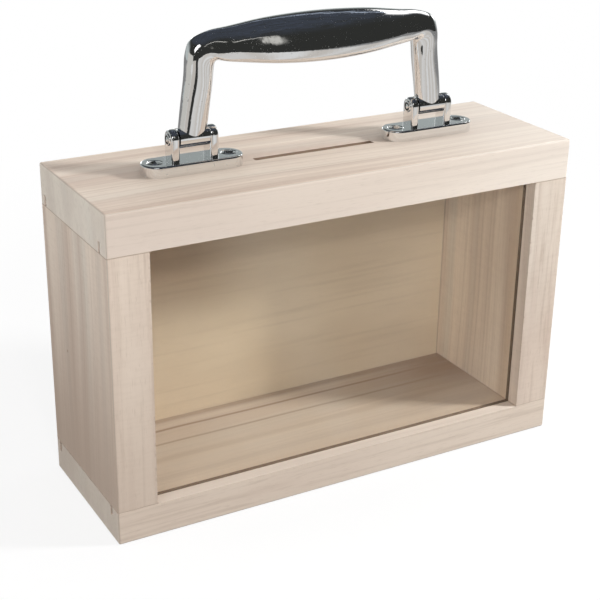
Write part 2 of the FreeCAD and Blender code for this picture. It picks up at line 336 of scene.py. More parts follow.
def side_board_finish(name, seed, wood, foot_shade_strength):
    """Side board with painted shade that darkens it towards its foot, and bruised here and there along the
    window's edge.
    """
    material, point = new_finish(name)
    colour, openness = wood_colour(point, GRAIN_ALONG_Z, seed, wood, wood.ripple_strength)
    x, y, z = point.parts()
    inner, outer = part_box("right_side_board")
    front = facing(point, "Y", -1)
    # Painted shade: darker towards the foot, and less so on the front
    foot = z.between(outer.z, inner.z) * (1.0 - front * STILE_EVENNESS) + front * STILE_SHADE
    colour = (foot * foot_shade_strength).paint(colour, wood.foot)
    at_window = (abs(x) - inner.x).between(wood.bruise_width, 0.0)
    at_front = (y - inner.y).between(wood.bruise_width, 0.0)
    bruise = figure(point, (300.0, 300.0, 420.0), seed + 8.0, detail=2.0, start=0.56, full=0.66)
    colour = (at_window * at_front * bruise * wood.bruise_strength).paint(colour, wood.dark)
    joint = mark(z.maths("MINIMUM", z - inner.z, outer.z - z), wood.joint_width)
    colour = (joint * wood.joint_strength).paint(colour, wood.dark)
    from_knot = point.vectors("DISTANCE", point, PIN_KNOT)
    colour = mark(from_knot, wood.knot_radius).paint(colour, wood.dark)
    return close_finish(material, wood_surface(point, colour, openness))


# How strongly the back panel's broad figure, lines and flecks show
VENEER_FIGURE, VENEER_LINES, VENEER_FLECKS = 0.35, 0.22, 0.14

# Where the panel's corner of painted shade begins and is full, in shares of the inner wall's X and the middle's
# Z
SHADED_X, SHADED_Z = (0.0, -0.8), (0.85, 1.35)


def plywood_finish(wood):
    """Rotary-cut veneer: soft broad figure, a yellower tone, fine lines along X and painted shade browning one
    corner.
    """
    material, point = new_finish("back_plywood")
    broad = figure(point, (9.0, 40.0, 26.0), 41.0, detail=3.0, start=0.35, full=0.70)
    line = figure(point, (14.0, 300.0, 420.0), 42.0, detail=2.0, start=0.50, full=0.75)
    fleck = figure(point, (220.0, 900.0, 2200.0), 43.0, detail=1.0, start=0.60, full=0.76)
    colour = (broad * VENEER_FIGURE).paint(opaque(wood.veneer), wood.veneer_dark)
    colour = (line * VENEER_LINES + fleck * VENEER_FLECKS).paint(colour, wood.veneer_dark)
    x, _, z = point.parts()
    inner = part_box("right_side_board")[0].x
    middle = middle_of("back_panel").z
    # Painted shade: the upper left of the panel's front, under the top board and beside the left board, turns
    # brown
    corner = x.between(*(inner * share for share in SHADED_X))
    corner = corner * z.between(*(middle * share for share in SHADED_Z))
    front = facing(point, "Y", -1)
    colour = (front * corner * wood.panel_shade_strength).paint(colour, wood.panel_shade_colour)
    # Dark line where the panel meets the side boards: partly a real joint, partly painted shade in the corner
    joint = front * mark(from_walls(x), wood.joint_width)
    colour = (joint * wood.joint_strength).paint(colour, wood.dark)
    surface = point.node("ShaderNodeBsdfPrincipled", None, {
        "Base Color": colour, "Roughness": 0.6 + fleck * 0.2, "Specular IOR Level": 0.3})
    return close_finish(material, surface)


def dowel_finish(wood):
    """Turned hardwood with fine lines along its length."""
    material, point = new_finish("dowel_wood")
    line = figure(point, (900.0, 900.0, 40.0), 51.0, detail=2.0, start=0.40, full=0.70)
    colour = (line * wood.dowel_lines).paint(opaque(wood.veneer), wood.rosy)
    surface = point.node("ShaderNodeBsdfPrincipled", None, {
        "Base Color": colour, "Roughness": 0.6 + line * 0.1})
    return close_finish(material, surface)


# How far haze and pits turn plating to the hazy colour, and how much roughness haze, mottles and pits add
PLATING_HAZE, PLATING_PITS = 0.25, 0.5
HAZE_ROUGHNESS, MOTTLE_ROUGHNESS, PIT_ROUGHNESS = 0.03, 0.05, 0.4


def chrome_finish(metal):
    """Bright plating over a cast body: faint waves, polishing haze and a few pits."""
    material, point = new_finish("chrome_plating")
    haze = figure(point, (90.0, 90.0, 90.0), 61.0, detail=3.0, start=0.35, full=0.75)
    mottle = figure(point, (420.0, 900.0, 900.0), 64.0, detail=3.0, start=0.50, full=0.75)
    pit = figure(point, (1900.0, 1900.0, 1900.0), 62.0, detail=0.0, start=0.72, full=0.80)
    wave = stretched(point, (160.0, 160.0, 160.0), 63.0, 0.0)
    colour = (haze * PLATING_HAZE + pit * PLATING_PITS).paint(opaque(metal.chrome), metal.chrome_haze)
    bump = point.node("ShaderNodeBump", None, {"Strength": 0.03, "Distance": 0.0004, "Height": wave})
    rough = metal.chrome_roughness + haze * HAZE_ROUGHNESS + mottle * MOTTLE_ROUGHNESS + pit * PIT_ROUGHNESS
    surface = point.node("ShaderNodeBsdfPrincipled", None, {
        "Base Color": colour, "Metallic": 1.0, "Roughness": rough, "Normal": bump})
    return close_finish(material, surface)


# How far haze turns steel to the hazy colour, and how much roughness haze and grime add
STEEL_HAZE = 0.4
STEEL_HAZE_ROUGHNESS, GRIME_ROUGHNESS = 0.08, 0.3

# Dirt and painted shade in the groove round a pin's dome, in shares of the head: its radius, and how far from
# it the darkening begins and is full
GROOVE_RADIUS, GROOVE_REACH = 0.60, (0.16, 0.08)


def steel_finish(metal):
    """Plated steel of the pins and screws, a little duller than the castings, and darkened round the domes by
    dirt and painted shade.
    """
    material, point = new_finish("plated_steel")
    haze = figure(point, (600.0, 600.0, 600.0), 71.0, detail=2.0, start=0.35, full=0.70)
    colour = (haze * STEEL_HAZE).paint(opaque(metal.steel), metal.chrome_haze)
    _, y, z = point.parts()
    low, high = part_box("pivot_pin_left")
    head = (high.z - low.z) / 2
    from_axis = (y ** 2.0 + (z - (low.z + high.z) / 2) ** 2.0) ** 0.5
    # Dirt and painted shade darken the groove round a pin's dome
    grime_and_shade = abs(from_axis - head * GROOVE_RADIUS).between(*(head * share for share in GROOVE_REACH))
    colour = grime_and_shade.paint(colour, metal.grime_and_shade)
    rough = metal.steel_roughness + haze * STEEL_HAZE_ROUGHNESS + grime_and_shade * GRIME_ROUGHNESS
    surface = point.node("ShaderNodeBsdfPrincipled", None, {
        "Base Color": colour, "Metallic": 1.0, "Roughness": rough})
    return close_finish(material, surface)


# How fast the pane's gloss grows towards grazing views, and how much roughness smears add
GLOSS_RISE, SMEAR_ROUGHNESS = 5.0, 0.04


def pane_finish(pane):
    """Clear sheet: a faint warm tint, gloss that grows towards grazing views, and a dark line of painted shadow
    round it where it enters its grooves.
    """
    material, point = new_finish("clear_sheet")
    smear = figure(point, (14.0, 14.0, 9.0), 81.0, detail=2.0, start=0.40, full=0.75)
    clear = point.node("ShaderNodeBsdfTransparent", None, {"Color": opaque(pane.tint)})
    gloss = point.node("ShaderNodeBsdfPrincipled", None, {
        "Base Color": grey(1.0), "Metallic": 1.0, "Roughness": pane.roughness + smear * SMEAR_ROUGHNESS})
    slant = point.node("ShaderNodeLayerWeight", None, {"Blend": 0.5}, "Facing")
    mirrored = pane.gloss + slant ** GLOSS_RISE * (1.0 - pane.gloss)
    sheet = mirrored.blend(clear, gloss)
    x, _, z = point.parts()
    wall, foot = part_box("right_side_board")[0].x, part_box("bottom_board")[1].z
    # Painted shadow: a dark line along the sheet's edges inside the grooves
    groove_shadow = x.maths("MAXIMUM", abs(x) - wall, foot - z).between(-pane.groove_shadow, -pane.groove_shadow / 2)
    groove_shadow = groove_shadow * facing(point, "Y", -1) * pane.groove_shadow_strength
    shade = point.node("ShaderNodeBsdfDiffuse", None, {"Color": opaque(pane.groove_shadow_colour)})
    return close_finish(material, groove_shadow.blend(sheet, shade))


# Sizes and colours that a user would change

def colour_property(name, description, default):
    """A linear colour with a swatch."""
    return bpy.props.FloatVectorProperty(name=name, description=description, default=default,
                                         subtype="COLOR", min=0.0, max=1.0)


def share_property(name, description, default):
    """A number from 0 to 1."""
    return bpy.props.FloatProperty(name=name, description=description, default=default,
                                   min=0.0, max=1.0, subtype="FACTOR")


def length_property(name, description, default):
    """A length in metres."""
    return bpy.props.FloatProperty(name=name, description=description, default=default,
                                   unit="LENGTH", precision=5)


def angle_property(name, description, default):
    """An angle whose default is given in degrees."""
    return bpy.props.FloatProperty(name=name, description=description, default=math.radians(default),
                                   subtype="ANGLE")


def power_property(name, description, default):
    """A lamp's power in watts."""
    return bpy.props.FloatProperty(name=name, description=description, default=default, unit="POWER")


class WoodLooks(bpy.types.PropertyGroup):
    """Colours and figure of the boards, the back panel and the dowels."""

    pale: colour_property("Pale Wood", "Ground colour of the boards", (0.835, 0.72, 0.61))
    rosy: colour_property("Rosy Streak", "Colour of the wider streaks", (0.60, 0.472, 0.39))
    cool: colour_property("Cool Streak", "Colour of some streaks", (0.69, 0.655, 0.585))
    dark: colour_property("Grain Line", "Colour of fine lines and pores", (0.40, 0.29, 0.215))
    veneer: colour_property("Veneer", "Ground colour of the back panel", (0.89, 0.765, 0.595))
    veneer_dark: colour_property("Veneer Figure", "Darker figure of the back panel", (0.53, 0.41, 0.29))
    # Paler colour; at the top board's right end it is painted light
    bleached: colour_property("Bleached Wood", "Colour that bleached wood fades to", (0.88, 0.82, 0.75))
    # Colour of painted shade: the left board towards its foot and the bottom board towards its left
    foot: colour_property("Brown Foot", "Colour that browned boards turn to", (0.47, 0.36, 0.285))
    # Painted light: how far the top board's right end turns paler
    right_light_strength: share_property("Bleach", "How far the top board's right end is bleached", 0.5)
    floor_bleach: share_property("Floor Bleach", "How far the floor inside is bleached", 0.35)
    # Painted shade: how far the left board darkens towards its foot
    foot_shade_strength: share_property("Browning", "How far the left board's foot is browned", 0.82)
    front_strength: share_property("Front Bleach", "How far the top board's front is bleached", 0.28)
    # Painted shade: how far the bottom board darkens towards its left
    left_shade_strength: share_property("Dulling", "How far the bottom board's left end is browned", 0.36)
    # Painted shadow on the floor inside at the back right: how strong it is
    floor_shade_strength: share_property("Rear Browning", "How far the floor inside is browned at the right", 0.95)
    # Painted shade on the panel's upper left: how strong it is, and its colour
    panel_shade_strength: share_property("Panel Browning", "How far the back panel's upper left is browned", 0.60)
    panel_shade_colour: colour_property("Brown Panel", "Colour of the panel's upper left", (0.53, 0.345, 0.195))
    # Colour of the painted shadow on the floor inside
    floor_shade_colour: colour_property("Brown Floor", "Colour that the floor inside turns to", (0.31, 0.19, 0.115))
    band_strength: share_property("Bands", "How strongly wide bands show", 0.80)
    streak_strength: share_property("Streaks", "How strongly narrow streaks show", 0.46)
    cool_strength: share_property("Cool Streaks", "How strongly cool streaks show", 0.50)
    blush_strength: share_property("Blush", "How strongly rosy patches show", 0.16)
    line_strength: share_property("Lines", "How strongly fine grain lines show", 0.30)
    ripple_strength: share_property("Ripple", "How strongly marks across the grain show", 0.07)
    pore_strength: share_property("Pores", "How strongly pores show", 0.25)
    end_grain: colour_property("End Grain", "Colour that the boards' ends turn to", (0.79, 0.75, 0.67))
    end_strength: share_property("End Grain Share", "How far the boards' ends turn to their colour", 0.55)
    # Painted shade on rounded edges: its colour, and how far they turn to it
    arris_shade: colour_property("Arris", "Colour of rounded edges", (0.53, 0.455, 0.385))
    arris_shade_strength: share_property("Arris Share", "How far rounded edges turn to their colour", 0.85)
    # Joint lines; at the inner corners they are partly painted shade
    joint_strength: share_property("Joints", "How strongly the lines at the joints show", 0.55)
    joint_width: length_property("Joint Width", "Width of the line at a joint", 0.0006)
    knot_radius: length_property("Knot Radius", "Radius of the left board's tiny knot", 0.0009)
    bruise_strength: share_property("Bruises", "How strongly bruised edges show", 0.55)
    bruise_width: length_property("Bruise Width", "How far bruises reach in from the edge", 0.0011)
    waver: length_property("Waver", "How far the grain wanders sideways", 0.012)
    floor_waver: length_property("Floor Waver", "How far the floor's strong lines wander", 0.0036)
    dowel_lines: share_property("Dowel Lines", "How strongly a dowel's lines show", 0.6)


class SlotSizes(bpy.types.PropertyGroup):
    """Size and shade of the coin slot."""

    length: length_property("Length", "Length of the coin slot", 0.053)
    width: length_property("Width", "Width of the coin slot", 0.0035)
    edge: length_property("Edge", "How far the shade fades out at the slot's edge", 0.0002)
    shade_depth: length_property("Shade Depth", "Depth at which the slot's walls reach their colour", 0.0004)
    # Colour of the painted shade down the slot's walls
    colour: colour_property("Wall", "Colour of the slot's sawn walls", (0.27, 0.19, 0.135))


class HingeSizes(bpy.types.PropertyGroup):
    """Sizes of the hinge bases, pins and screws."""

    plate_thickness: length_property("Plate Thickness", "Thickness of a base plate", 0.0043)
    lug_gap: length_property("Lug Gap", "Clear width between two lugs", 0.0123)
    lug_thickness: length_property("Lug Thickness", "Thickness of a lug", 0.0034)
    lug_width: length_property("Lug Width", "Width of a lug, front to back", 0.0072)
    lug_edge: length_property("Lug Edge", "Roundness of a lug's edges", 0.0010)
    rim_radius: length_property("Rim Radius", "Roundness of a plate's upper rim", 0.0007)
    pin_radius: length_property("Pin Radius", "Radius of a pivot pin", 0.0015)
    screw_spacing: length_property("Screw Spacing", "Distance between the screws of a base", 0.03)
    head_radius: length_property("Head Radius", "Radius of a screw head", 0.003)
    shank_radius: length_property("Shank Radius", "Radius of a screw's shank", 0.0017)
    screw_point: length_property("Point", "Length of a screw's point", 0.004)
    crown: length_property("Crown", "Rise of a screw head over its rim", 0.0003)
    recess_span: length_property("Recess Span", "Span of the crossed recess", 0.0038)
    recess_width: length_property("Recess Width", "Width of the recess's arms", 0.0009)
    recess_depth: length_property("Recess Depth", "Depth of the recess", 0.0015)


class MetalLooks(bpy.types.PropertyGroup):
    """Colours and gloss of the castings, pins and screws."""

    chrome: colour_property("Chrome", "Colour of bright plating", (0.86, 0.865, 0.87))
    chrome_haze: colour_property("Haze", "Colour of hazy plating", (0.74, 0.745, 0.75))
    chrome_roughness: share_property("Chrome Roughness", "Roughness of clean plating", 0.04)
    steel: colour_property("Steel", "Colour of plated steel", (0.90, 0.905, 0.91))
    # Colour of the dirt and painted shade in the groove round a pin's dome
    grime_and_shade: colour_property("Grime", "Colour of the groove round a pin's dome", (0.05, 0.048, 0.045))
    steel_roughness: share_property("Steel Roughness", "Roughness of plated steel", 0.06)


class PaneLooks(bpy.types.PropertyGroup):
    """Looks of the window pane."""

    tint: colour_property("Tint", "What the sheet lets through", (0.965, 0.955, 0.93))
    roughness: share_property("Roughness", "Roughness of the sheet's faces", 0.03)
    gloss: share_property("Gloss", "Share of light that the sheet mirrors when seen square on", 0.04)
    # Painted shadow where the sheet enters its grooves: its width, colour and strength
    groove_shadow: length_property("Border", "Width of the dark line where the sheet enters its grooves", 0.0004)
    groove_shadow_colour: colour_property("Border Colour", "Colour of that line", (0.17, 0.10, 0.06))
    groove_shadow_strength: share_property("Border Strength", "How strongly that line shows", 0.7)


class StageLooks(bpy.types.PropertyGroup):
    """Camera, lights and floor."""

    azimuth: angle_property("Azimuth", "Where the camera stands, from the front to the right", -29.51)
    elevation: angle_property("Elevation", "How steeply the camera looks down", 23.32)
    roll: angle_property("Roll", "Turn of the camera about its line of sight", 0.88)
    distance: length_property("Distance", "From the camera to the point it looks at", 0.5424)
    target: bpy.props.FloatVectorProperty(name="Target", description="Point that the camera looks at",
                                          default=(-0.0054, 0.0, 0.0686), subtype="TRANSLATION")
    focal_length: bpy.props.FloatProperty(name="Focal Length", default=80.32,
                                          description="Lens on a 36 mm sensor, in millimetres")
    ambient: share_property("Ambient", "Strength of the even light from all round", 0.27)
    key_power: power_property("Key Power", "Power of the lamp low at the right", 7.2)
    fill_power: power_property("Fill Power", "Power of the low lamp at the left in front", 1.70)
    front_power: power_property("Front Power", "Power of the small lamp over the camera", 0.88)
    back_power: power_property("Back Power", "Power of the lamp behind the box", 2.4)
    left_power: power_property("Left Power", "Power of the lamp close at the left", 0.62)
    rear_power: power_property("Rear Power", "Power of the lamp high at the right and behind", 1.7)
    floor_shadow: share_property("Floor Shadow", "How strongly the object's shadow shows on the floor", 0.2)
    floor_grey: share_property("Floor Grey", "How much light the floor throws back at the object", 0.12)
    paper_warm: colour_property("Warm Paper", "Paper that metal mirrors from below", (0.56, 0.525, 0.485))
    paper_cool: colour_property("Cool Paper", "Paler streaks of that paper", (0.76, 0.765, 0.765))
    paper_dim: colour_property("Dim Paper", "That paper at the right and behind", (0.24, 0.24, 0.24))
    room_dark: colour_property("Dark Room", "The room that metal mirrors", (0.031, 0.032, 0.030))
    room_blue: colour_property("Blue Ceiling", "Its dim bluish ceiling", (0.062, 0.074, 0.102))
    room_rear: colour_property("Rear Wall", "Its pale wall behind the object", (0.48, 0.525, 0.52))
    card_pale: colour_property("Pale Card", "Cards that metal mirrors softly", (0.58, 0.57, 0.535))
    card_blue: colour_property("Blue Card", "Card that makes the grip's bluish streaks", (0.50, 0.57, 0.70))


# Modelling

def alone(piece):
    """Makes a piece the only selected object."""
    bpy.ops.object.select_all(action="DESELECT")
    piece.select_set(True)
    bpy.context.view_layer.objects.active = piece


def begin(name, add, **options):
    """Adds a primitive with nothing else selected, and opens it for shaping with everything picked."""
    bpy.ops.object.select_all(action="DESELECT")
    add(**options)
    piece = bpy.context.object
    piece.name = name
    piece.data.name = name
    bpy.ops.object.transform_apply()
    bpy.ops.object.mode_set(mode="EDIT")
    return piece


def pick(piece, kind, wanted):
    """Picks in an open piece each vertex, edge or face whose corner points pass a test."""
    bpy.ops.mesh.select_mode(type=kind)
    bpy.ops.mesh.select_all(action="DESELECT")
    shape = bmesh.from_edit_mesh(piece.data)
    for part in {"VERT": shape.verts, "EDGE": shape.edges, "FACE": shape.faces}[kind]:
        corners = [part] if kind == "VERT" else part.verts
        part.select_set(wanted([corner.co for corner in corners]))
    bmesh.update_edit_mesh(piece.data)


def close():
    """Merges an open piece's doubled points, turns its faces outwards and leaves it smooth but for creases."""
    bpy.ops.mesh.select_mode(type="VERT")
    bpy.ops.mesh.select_all(action="SELECT")
    bpy.ops.mesh.remove_doubles(threshold=1e-6)
    bpy.ops.mesh.normals_make_consistent(inside=False)
    bpy.ops.object.mode_set(mode="OBJECT")
    bpy.ops.object.shade_smooth_by_angle(angle=CREASE)


def turn_up(name, rings, sides=40):
    """A round solid about the Z axis, extruded from ring to ring, each a (radius, height)."""
    radius, height = rings[0]
    piece = begin(name, bpy.ops.mesh.primitive_circle_add, vertices=sides, radius=radius,
                  fill_type="NGON", location=(0.0, 0.0, height))
    for next_radius, next_height in rings[1:]:
        bpy.ops.mesh.extrude_region_move(TRANSFORM_OT_translate={"value": (0.0, 0.0, next_height - height)})
        swell = next_radius / radius
        bpy.ops.transform.resize(value=(swell, swell, 1.0), center_override=(0.0, 0.0, next_height))
        radius, height = next_radius, next_height
    close()
    return piece


def set_down(piece, place, turn=(0.0, 0.0, 0.0)):
    """Turns and moves a piece, and keeps its place in its mesh."""
    alone(piece)
    piece.rotation_euler = turn
    piece.location = place
    bpy.ops.object.transform_apply()


def copy_of(piece, name):
    """A copy with its own mesh."""
    alone(piece)
    bpy.ops.object.duplicate()
    copy = bpy.context.object
    copy.name = name
    copy.data.name = name
    return copy


def combine(piece, tool, operation):
    """Unites a piece with a tool shape, or cuts it, and removes the tool."""
    alone(piece)
    bpy.ops.object.modifier_add(type="BOOLEAN")
    step = piece.modifiers[-1]
    step.operation = operation
    step.solver = "MANIFOLD"
    step.object = tool
    bpy.ops.object.modifier_apply(modifier=step.name)
    bpy.data.objects.remove(tool)


def level_shading(piece):
    """Shades flat faces flat right up to their rounded edges."""
    alone(piece)
    bpy.ops.object.shade_smooth_by_angle(angle=CREASE)
    bpy.ops.object.modifier_add(type="WEIGHTED_NORMAL")
    step = piece.modifiers[-1]
    step.keep_sharp = True
    bpy.ops.object.modifier_apply(modifier=step.name)


def install(piece, node, material):
    """Puts a finished piece in the place of its CAD node on the case."""
    piece.data.materials.clear()
    piece.data.materials.append(material)
    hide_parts(node)
    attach(piece, "case")


def dress(nodes, material):
    """Gives CAD nodes one material."""
    for name in nodes:
        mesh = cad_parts[name].data
        mesh.materials.clear()
        mesh.materials.append(material)


CREASE = math.radians(40)
SIDES = ("left", "right")
ALONG_X = (0.0, math.radians(90), 0.0)


def middle_of(node):
    """Middle of a CAD node's box."""
    low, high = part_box(node)
    return (low + high) / 2


def base_plate(sizes):
    """Round-ended plate about the Z axis, with its underside on the top board and its upper rim rounded."""
    low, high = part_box("hinge_base_left")
    radius = (high.y - low.y) / 2
    reach = (high.x - low.x) / 2 - radius
    top = low.z + sizes.plate_thickness
    plate = begin("cast_base", bpy.ops.mesh.primitive_cylinder_add, vertices=64, radius=radius,
                  depth=sizes.plate_thickness, location=(0.0, 0.0, (low.z + top) / 2))
    for side in (-1, 1):
        pick(plate, "VERT", lambda corners: corners[0].x * side > radius / 100)
        bpy.ops.transform.translate(value=(side * reach, 0.0, 0.0))
    pick(plate, "EDGE", lambda ends: min(end.z for end in ends) > top - sizes.rim_radius / 10)
    bpy.ops.mesh.bevel(offset=sizes.rim_radius, segments=4, affect="EDGES")
    close()
    return plate


def lug(sizes, x_middle):
    """Upright ear with a round top and soft edges, from inside the plate."""
    low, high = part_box("hinge_base_left")
    foot = low.z + sizes.plate_thickness / 2
    ear = begin("lug", bpy.ops.mesh.primitive_cube_add, size=1.0,
                scale=(sizes.lug_thickness, sizes.lug_width, high.z - foot),
                location=(x_middle, 0.0, (foot + high.z) / 2))
    near = sizes.lug_thickness / 100
    pick(ear, "EDGE", lambda ends: min(end.z for end in ends) > high.z - near
         and abs(ends[0].x - ends[1].x) > near)
    bpy.ops.mesh.bevel(offset=sizes.lug_width / 2, segments=12, affect="EDGES")
    bpy.ops.mesh.select_all(action="SELECT")
    bpy.ops.mesh.remove_doubles(threshold=near)
    pick(ear, "EDGE", lambda ends: max(end.z for end in ends) > foot + near
         and abs(ends[0].x - ends[1].x) < near)
    bpy.ops.mesh.bevel(offset=sizes.lug_edge, segments=4, affect="EDGES")
    close()
    return ear


class BOX_OT_hinge_bases(bpy.types.Operator):
    """Model the two hinge bases: round-ended plates with two lugs, bored and countersunk"""

    bl_idname = "donation_box.hinge_bases"
    bl_label = "Hinge Bases"

    def execute(self, context):
        sizes = context.scene.box_hinges
        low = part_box("hinge_base_left")[0]
        plate_top = low.z + sizes.plate_thickness
        base = base_plate(sizes)
        lug_middle = (sizes.lug_gap + sizes.lug_thickness) / 2
        for x_middle in (-lug_middle, lug_middle):
            combine(base, lug(sizes, x_middle), "UNION")
        reach = sizes.lug_gap
        bore = turn_up("bore", [(sizes.pin_radius, -reach), (sizes.pin_radius, reach)])
        set_down(bore, (0.0, 0.0, middle_of("pivot_pin_left").z), ALONG_X)
        combine(base, bore, "DIFFERENCE")
        rim = sizes.head_radius + sizes.crown
        for x_screw in (-sizes.screw_spacing / 2, sizes.screw_spacing / 2):
            sink = turn_up("sink", [(sizes.shank_radius, -sizes.plate_thickness * 2),
                                    (sizes.shank_radius, sizes.shank_radius - rim),
                                    (rim + sizes.crown, sizes.crown)])
            set_down(sink, (x_screw, 0.0, plate_top))
            combine(base, sink, "DIFFERENCE")
        level_shading(base)
        finish = chrome_finish(context.scene.box_metal)
        for side in SIDES:
            node = "hinge_base_" + side
            copy = copy_of(base, "cast_base_" + side)
            set_down(copy, (middle_of(node).x, 0.0, 0.0))
            install(copy, node, finish)
        bpy.data.objects.remove(base)
        dress(["carry_handle"], finish)
        return {"FINISHED"}


# Turned end of a pivot pin: (share of the head's radius, share of the head's height) from the lug outwards
PIN_END = ((1.0, 0.0), (1.0, 0.25), (0.94, 0.50), (0.82, 0.70), (0.70, 0.66), (0.62, 0.26), (0.54, 0.24),
           (0.47, 0.50), (0.36, 0.78), (0.20, 0.95), (0.06, 1.0))


class BOX_OT_pins(bpy.types.Operator):
    """Model the pivot pins, each with a ring and a domed end riveted over both lugs"""

    bl_idname = "donation_box.pins"
    bl_label = "Pivot Pins"

    def execute(self, context):
        sizes = context.scene.box_hinges
        low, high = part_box("pivot_pin_left")
        head_radius = (high.z - low.z) / 2
        seat = sizes.lug_gap / 2 + sizes.lug_thickness
        head_height = (high.x - low.x) / 2 - seat
        end = [(head_radius * wide, seat + head_height * tall) for wide, tall in PIN_END]
        rings = [(radius, -height) for radius, height in reversed(end)]
        rings += [(sizes.pin_radius, -seat), (sizes.pin_radius, seat)] + end
        pin = turn_up("rivet_pin", rings)
        level_shading(pin)
        set_down(pin, (0.0, 0.0, 0.0), ALONG_X)
        finish = steel_finish(context.scene.box_metal)
        for side in SIDES:
            node = "pivot_pin_" + side
            copy = copy_of(pin, "rivet_pin_" + side)
            set_down(copy, middle_of(node))
            install(copy, node, finish)
        bpy.data.objects.remove(pin)
        return {"FINISHED"}


# Span of a recess at its bottom, as a share of that at its top
RECESS_TAPER = 0.4


def cross_recess(sizes):
    """Tapered cross, as a driver leaves it, with its top above the head."""
    top = sizes.crown * 2
    tall = sizes.recess_depth + top
    cross = begin("recess", bpy.ops.mesh.primitive_cube_add, size=1.0,
                  scale=(sizes.recess_width, sizes.recess_width, tall),
                  location=(0.0, 0.0, top - tall / 2))
    half = sizes.recess_width / 2
    arm = sizes.recess_span / 2 - half
    for way in ((1, 0), (-1, 0), (0, 1), (0, -1)):
        pick(cross, "FACE", lambda corners: all(
            abs(corner.x * way[0] + corner.y * way[1] - half) < half / 10 for corner in corners))
        bpy.ops.mesh.extrude_region_move(
            TRANSFORM_OT_translate={"value": (way[0] * arm, way[1] * arm, 0.0)})
    pick(cross, "VERT", lambda corners: corners[0].z < top - tall / 2)
    bpy.ops.transform.resize(value=(RECESS_TAPER, RECESS_TAPER, 1.0), center_override=(0.0, 0.0, top - tall))
    close()
    return cross


# Crown of a screw head from its rim inwards: (share of the head's radius, share of the crown's rise)
SCREW_CROWN = ((1.0, 0.0), (0.93, 0.35), (0.75, 0.70), (0.45, 1.0))

# How far each screw was turned before it sat tight, in degrees
SCREW_TURNS = (18.0, 57.0, 33.0, 74.0)


class BOX_OT_screws(bpy.types.Operator):
    """Model the four countersunk screws with their crossed recesses"""

    bl_idname = "donation_box.screws"
    bl_label = "Base Screws"

    def execute(self, context):
        sizes = context.scene.box_hinges
        low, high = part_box("base_screw_1")
        head, shank = sizes.head_radius, sizes.shank_radius
        rings = [(shank / 20, low.z - high.z), (shank, low.z - high.z + sizes.screw_point),
                 (shank, shank - head)]
        rings += [(head * wide, sizes.crown * tall) for wide, tall in SCREW_CROWN]
        screw = turn_up("cross_screw", rings)
        combine(screw, cross_recess(sizes), "DIFFERENCE")
        level_shading(screw)
        finish = steel_finish(context.scene.box_metal)
        for number, turn in enumerate(SCREW_TURNS, 1):
            node = "base_screw_%d" % number
            place = middle_of(node)
            copy = copy_of(screw, "cross_screw_%d" % number)
            set_down(copy, (place.x, place.y, high.z), (0.0, 0.0, math.radians(turn)))
            install(copy, node, finish)
        bpy.data.objects.remove(screw)
        return {"FINISHED"}


# Seeds that give each board a figure of its own
TOP_SEED, BOTTOM_SEED, LEFT_SEED, RIGHT_SEED = 3.0, 13.0, 23.0, 33.0


class BOX_OT_boards(bpy.types.Operator):
    """Finish the four boards of the case"""

    bl_idname = "donation_box.boards"
    bl_label = "Boards"

    def execute(self, context):
        wood = context.scene.box_wood
        dress(["top_board"], slot_board_finish(TOP_SEED, wood, context.scene.box_slot))
        dress(["bottom_board"], bottom_board_finish(BOTTOM_SEED, wood))
        left = side_board_finish("left_board_wood", LEFT_SEED, wood, wood.foot_shade_strength)
        right = side_board_finish("right_board_wood", RIGHT_SEED, wood, 0.0)
        dress(["left_side_board"], left)
        dress(["right_side_board"], right)
        return {"FINISHED"}


class BOX_OT_back_panel(bpy.types.Operator):
    """Finish the sliding back panel"""

    bl_idname = "donation_box.back_panel"
    bl_label = "Back Panel"

    def execute(self, context):
        dress(["back_panel"], plywood_finish(context.scene.box_wood))
        return {"FINISHED"}


class BOX_OT_dowels(bpy.types.Operator):
    """Finish the dowels hidden in the corners"""

    bl_idname = "donation_box.dowels"
    bl_label = "Corner Dowels"

    def execute(self, context):
        nodes = [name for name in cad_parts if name.startswith("corner_dowel")]
        dress(nodes, dowel_finish(context.scene.box_wood))
        return {"FINISHED"}


class BOX_OT_pane(bpy.types.Operator):
    """Finish the window pane"""

    bl_idname = "donation_box.pane"
    bl_label = "Window Pane"

    def execute(self, context):
        dress(["window_pane"], pane_finish(context.scene.box_pane))
        return {"FINISHED"}


# Stage

def seen_or_mirrored(wire):
    """1 for rays from the camera, from gloss and through clear pieces, else 0."""
    path = wire.node("ShaderNodeLightPath", None, None, "Is Camera Ray")
    seen = path.maths("MAXIMUM", path, path.output("Is Glossy Ray"))
    return seen.maths("MAXIMUM", seen, path.output("Is Transmission Ray"))


# How white the floor looks, and how far from the middle its shadow starts to fade and has gone
FLOOR_WHITE, SHADOW_FADE = 0.95, (0.12, 0.45)


def floor_finish(stage):
    """White floor that fades to the plain background away from the object and keeps its shadow."""
    material, point = new_finish("floor_white")
    seen = seen_or_mirrored(point)
    white = seen.mix(grey(stage.floor_grey), grey(FLOOR_WHITE))
    lit = point.node("ShaderNodeBsdfDiffuse", None, {"Color": white})
    plain = point.node("ShaderNodeEmission", None, {"Color": grey(1.0), "Strength": 1.0})
    away = point.vectors("LENGTH", point)
    whiteness = (1.0 - stage.floor_shadow) + away.between(*SHADOW_FADE) * stage.floor_shadow
    return close_finish(material, (seen * whiteness).blend(lit, plain))


def glowing(material, point, colour):
    """An unlit surface of a colour."""
    return close_finish(material, point.node("ShaderNodeEmission", None, {"Color": colour, "Strength": 1.0}))


# The mirrored room, by its directions: how cloudy its ceiling is, where that starts and is full upwards, where
# the pale wall starts and is full backwards, and where that wall fades and ends upwards
CLOUD, CEILING, REAR_WALL, WALL_FADE = 0.85, (0.60, 0.88), (-0.05, 0.45), (0.15, 0.70)


